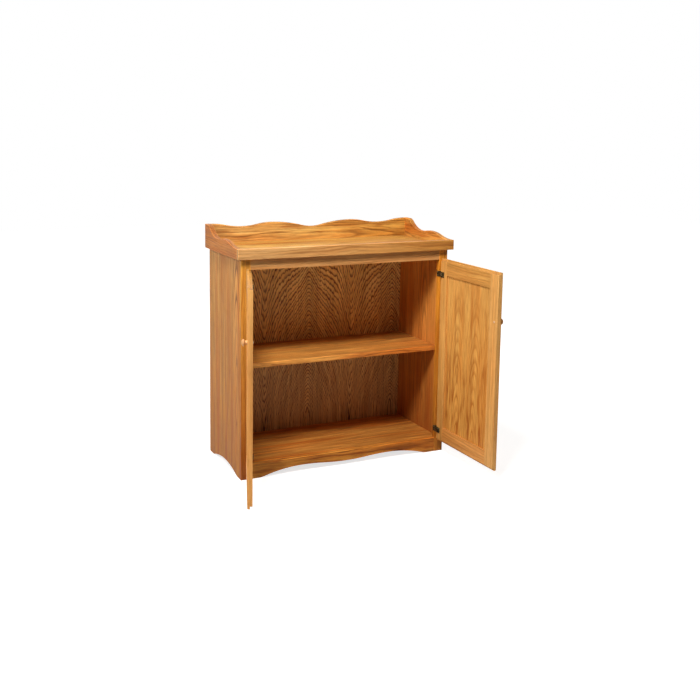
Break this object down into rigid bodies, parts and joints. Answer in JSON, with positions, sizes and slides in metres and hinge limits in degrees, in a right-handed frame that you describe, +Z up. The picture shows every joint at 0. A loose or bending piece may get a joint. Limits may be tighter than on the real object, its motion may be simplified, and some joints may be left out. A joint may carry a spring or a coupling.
{
  "type": "dry sink cabinet",
  "caption": "Low oak cupboard with hinged frame-and-panel doors, a shelf inside, scalloped feet and a shallow tray top with a wavy backsplash.",
  "frame": {"origin": "on the floor, at the middle of the width, in the plane of the face frame's front", "axes": "+X to the right of someone who faces the doors, +Y from the front to the back, +Z up"},
  "size_m": [1.0694, 0.8186, 0.9715],
  "materials": {
    "oak_boards": "honey-stained oak boards under satin varnish",
    "oak_sheet": "honey-stained oak veneer under satin varnish",
    "plain_wood": "bare softwood, planed",
    "knobs": "turned oak under satin varnish",
    "hinges": "antique bronze, satin",
    "screws": "dulled steel"
  },
  "bodies": {
    "cabinet": {"back_panel": "oak_sheet", "bottom_deck": "oak_sheet", "frame_bottom_rail": "oak_boards", "frame_top_rail": "oak_boards", "front_stretcher": "plain_wood", "left_foot_block": "plain_wood", "left_frame_leaf_screws": "screws", "left_frame_stile": "oak_boards", "left_lower_hinge_frame_leaf": "hinges", "left_lower_hinge_pin": "hinges", "left_side_panel": "oak_sheet", "left_upper_hinge_frame_leaf": "hinges", "left_upper_hinge_pin": "hinges", "middle_shelf": "oak_sheet", "rear_stretcher": "plain_wood", "right_foot_block": "plain_wood", "right_frame_leaf_screws": "screws", "right_frame_stile": "oak_boards", "right_lower_hinge_frame_leaf": "hinges", "right_lower_hinge_pin": "hinges", "right_side_panel": "oak_sheet", "right_upper_hinge_frame_leaf": "hinges", "right_upper_hinge_pin": "hinges", "tray_backsplash": "oak_boards", "tray_deck": "oak_sheet", "tray_front_rail": "oak_boards", "tray_left_rail": "oak_boards", "tray_right_rail": "oak_boards", "tray_screws": "screws"},
    "left_door": {"left_door_bottom_rail": "oak_boards", "left_door_hinge_stile": "oak_boards", "left_door_knob": "knobs", "left_door_knob_screw": "screws", "left_door_leaf_screws": "screws", "left_door_meeting_stile": "oak_boards", "left_door_panel": "oak_sheet", "left_door_top_rail": "oak_boards", "left_lower_hinge_door_leaf": "hinges", "left_upper_hinge_door_leaf": "hinges"},
    "right_door": {"right_door_bottom_rail": "oak_boards", "right_door_hinge_stile": "oak_boards", "right_door_knob": "knobs", "right_door_knob_screw": "screws", "right_door_leaf_screws": "screws", "right_door_meeting_stile": "oak_boards", "right_door_panel": "oak_sheet", "right_door_top_rail": "oak_boards", "right_lower_hinge_door_leaf": "hinges", "right_upper_hinge_door_leaf": "hinges"}
  },
  "joints": [
    {"name": "left_door_hinge", "type": "hinge", "parent": "cabinet", "child": "left_door", "pos_m": [-0.42923, -0.004, 0.4], "axis": [0, 0, -1], "range_deg": [-109.5, 10.5]},
    {"name": "right_door_hinge", "type": "hinge", "parent": "cabinet", "child": "right_door", "pos_m": [0.42923, -0.004, 0.4], "axis": [0, 0, 1], "range_deg": [-90.5, 29.5]}
  ]
}
